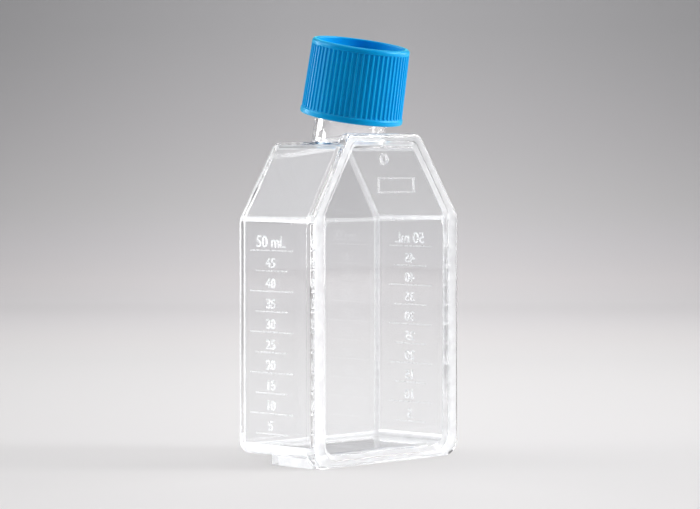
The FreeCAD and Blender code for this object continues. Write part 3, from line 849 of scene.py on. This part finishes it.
def softbox(name, direction, distance, width, height, radiance, lift):
    """A soft lamp of a given brightness, where 1 would show as white; sizes in metres."""
    light = bpy.data.lights.new(name, "AREA")
    light.shape = "RECTANGLE"
    light.size = width
    light.size_y = height
    light.energy = radiance * math.pi * width * height
    lamp = bpy.data.objects.new(name, light)
    SCENE.collection.objects.link(lamp)
    lamp.location = direction.normalized() * distance + UP * lift
    lamp.rotation_euler = (LAMPS_AIM - lamp.location).to_track_quat("-Z", "Y").to_euler()


softbox(
    "left_strip", -ACROSS + SIGHT * 0.6, distance=0.8,
    width=0.25, height=0.55, radiance=6.2, lift=0.27,
)
softbox(
    "right_strip", ACROSS + SIGHT * 0.6, distance=0.8,
    width=0.25, height=0.8, radiance=4.2, lift=0.3,
)
softbox(
    "left_wash", -ACROSS - SIGHT * 0.08, distance=1.0,
    width=0.3, height=0.5, radiance=10.0, lift=0.45,
)
softbox(
    "right_wash", ACROSS - SIGHT * 0.06, distance=1.0,
    width=0.3, height=0.5, radiance=23.0, lift=0.45,
)


def studio_level(tree, direction, front, side, top):
    """Brightness of the studio by direction: in front, at the sides and overhead."""
    round_about = spread(tree, along(tree, direction, SIGHT), FRONT_END, (front, side))
    high = spread(tree, along(tree, direction, UP), OVERHEAD_START, (0, 1))
    # a Mix node's numbers are its inputs 2 and 3
    level = add(tree, "ShaderNodeMix", data_type="FLOAT")
    tree.links.new(high, level.inputs["Factor"])
    tree.links.new(round_about, level.inputs[2])
    level.inputs[3].default_value = top
    return level.outputs[0]


def studio_world():
    """A pale studio, seen as such, that leaves most of the lighting to the lamps."""
    world = bpy.data.worlds.new("studio")
    world.use_nodes = True
    tree = world.node_tree
    tree.nodes.clear()
    output = add(tree, "ShaderNodeOutputWorld")
    background = add(tree, "ShaderNodeBackground")
    direction = add(tree, "ShaderNodeTexCoord").outputs["Generated"]
    path = add(tree, "ShaderNodeLightPath")
    seen = path.outputs["Is Camera Ray"]
    for kind in ("Is Glossy Ray", "Is Transmission Ray"):
        seen = math_node(tree, "MAXIMUM", seen, path.outputs[kind])
    level = add(tree, "ShaderNodeMix", data_type="FLOAT")
    tree.links.new(seen, level.inputs["Factor"])
    tree.links.new(studio_level(tree, direction, *LIGHTING), level.inputs[2])
    tree.links.new(studio_level(tree, direction, *SURROUNDINGS), level.inputs[3])
    background.inputs["Color"].default_value = STUDIO_TINT
    tree.links.new(level.outputs[0], background.inputs["Strength"])
    tree.links.new(background.outputs[0], output.inputs["Surface"])
    SCENE.world = world


studio_world()

# ---------------------------------------------------------------------------
# Camera
# ---------------------------------------------------------------------------
PICTURE_WIDTH = 700
FOCAL_PIXELS = 2900
SENSOR_WIDTH = 36
CAMERA_DISTANCE = 672 * MM
CAMERA_HEIGHT = 71.5 * MM
CAMERA_SIDE = 0.8 * MM
CAMERA_DROP = math.radians(2.05)
BODY_MIDDLE = Vector((0, 1.5 * MM, 0))


def camera():
    """The camera, level with the flask's upper part and looking slightly down."""
    data = bpy.data.cameras.new("camera")
    data.sensor_width = SENSOR_WIDTH
    data.lens = SENSOR_WIDTH * FOCAL_PIXELS / PICTURE_WIDTH
    data.clip_start = 0.01
    data.clip_end = 20
    eye = bpy.data.objects.new("camera", data)
    SCENE.collection.objects.link(eye)
    eye.location = (
        BODY_MIDDLE - SIGHT * CAMERA_DISTANCE + ACROSS * CAMERA_SIDE + UP * CAMERA_HEIGHT
    )
    eye.rotation_euler = (math.pi / 2 - CAMERA_DROP, 0, -CAMERA_TURN)
    SCENE.camera = eye


camera()
SCENE.view_settings.view_transform = "Standard"

# light turns back many times inside the clear walls before it leaves them
BOUNCES = MOST_TURNS + 10
SCENE.cycles.max_bounces = BOUNCES
SCENE.cycles.glossy_bounces = BOUNCES
SCENE.cycles.transmission_bounces = BOUNCES
SCENE.cycles.transparent_max_bounces = BOUNCES
